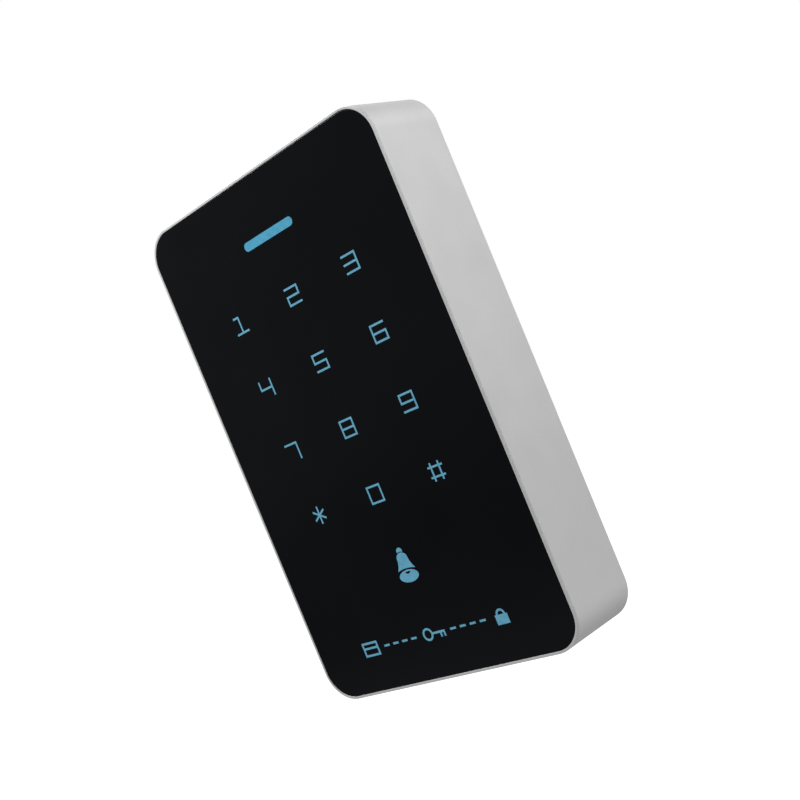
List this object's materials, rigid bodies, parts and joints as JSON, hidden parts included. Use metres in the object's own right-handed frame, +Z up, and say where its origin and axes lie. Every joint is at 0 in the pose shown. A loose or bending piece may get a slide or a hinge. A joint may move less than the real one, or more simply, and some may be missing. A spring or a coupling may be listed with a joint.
{
  "type": "keypad access reader",
  "caption": "Wall-mounted touch keypad and card reader: flat rounded slab with a black touch panel in a light metal frame, hung on a steel wall plate.",
  "frame": {"origin": "centre of the wall plate's back face, on the wall", "axes": "+X right seen from the front, +Y into the wall (the front faces -Y), +Z up"},
  "size_m": [0.076, 0.0208, 0.118],
  "materials": {
    "frame_paint": "satin",
    "panel_black": "smooth satin",
    "legend_blue": "translucent print",
    "foam_tape": "foam",
    "zinc_plated_steel": "zinc plated",
    "bright_steel": "bright",
    "black_rubber": "matte",
    "black_plastic": "fine spark texture",
    "white_plastic": "moulded",
    "board_green": "solder mask",
    "chip_epoxy": "moulded epoxy",
    "relay_case": "moulded",
    "capacitor_can": "drawn can",
    "ferrite": "sintered",
    "varistor_blue": "dipped epoxy",
    "small_ceramic": "ceramic",
    "gold_plate": "gold plated",
    "coil_copper": "enamelled wire"
  },
  "bodies": {
    "plate": {"wall_plate": "zinc_plated_steel", "cable_grommet": "black_rubber"},
    "reader": {"housing_frame": "frame_paint", "front_panel": "panel_black", "panel_tape": "foam_tape", "key_legends": "legend_blue", "bell_legend": "legend_blue", "footer_legend": "legend_blue", "status_window": "legend_blue", "diffuser_film": "white_plastic", "light_shield": "black_plastic", "main_board": "board_green", "key_leds": "white_plastic", "status_leds": "white_plastic", "touch_springs": "gold_plate", "antenna_coil": "coil_copper", "controller_chip": "chip_epoxy", "touch_chip": "chip_epoxy", "crystal": "bright_steel", "relay": "relay_case", "buzzer": "black_plastic", "power_capacitors": "capacitor_can", "power_inductor": "ferrite", "voltage_regulator": "chip_epoxy", "surge_varistor": "varistor_blue", "small_parts": "small_ceramic", "wire_header": "white_plastic", "header_pins": "gold_plate", "tamper_switch": "black_plastic", "tamper_spring": "bright_steel", "board_screws": "bright_steel", "rear_seal": "black_rubber", "rear_cover": "black_plastic", "cover_screws": "bright_steel"},
    "plunger": {"tamper_plunger": "white_plastic"},
    "lock": {"lock_screw": "bright_steel"}
  },
  "joints": [
    {"name": "reader_tilt", "type": "hinge", "parent": "plate", "child": "reader", "pos_m": [0, -0.0003, 0.059], "axis": [-1, 0, 0], "range_deg": [0, 20]},
    {"name": "tamper_slide", "type": "slide", "parent": "reader", "child": "plunger", "axis": [0, 1, 0], "range_m": [0, 0.0012], "stiffness_N_per_m": 150, "springref_m": 0.003, "deforming": ["tamper_spring"]},
    {"name": "lock_free", "type": "slide", "parent": "reader", "child": "lock", "axis": [0, 0, 1], "range_m": [0, 0.0026]}
  ]
}
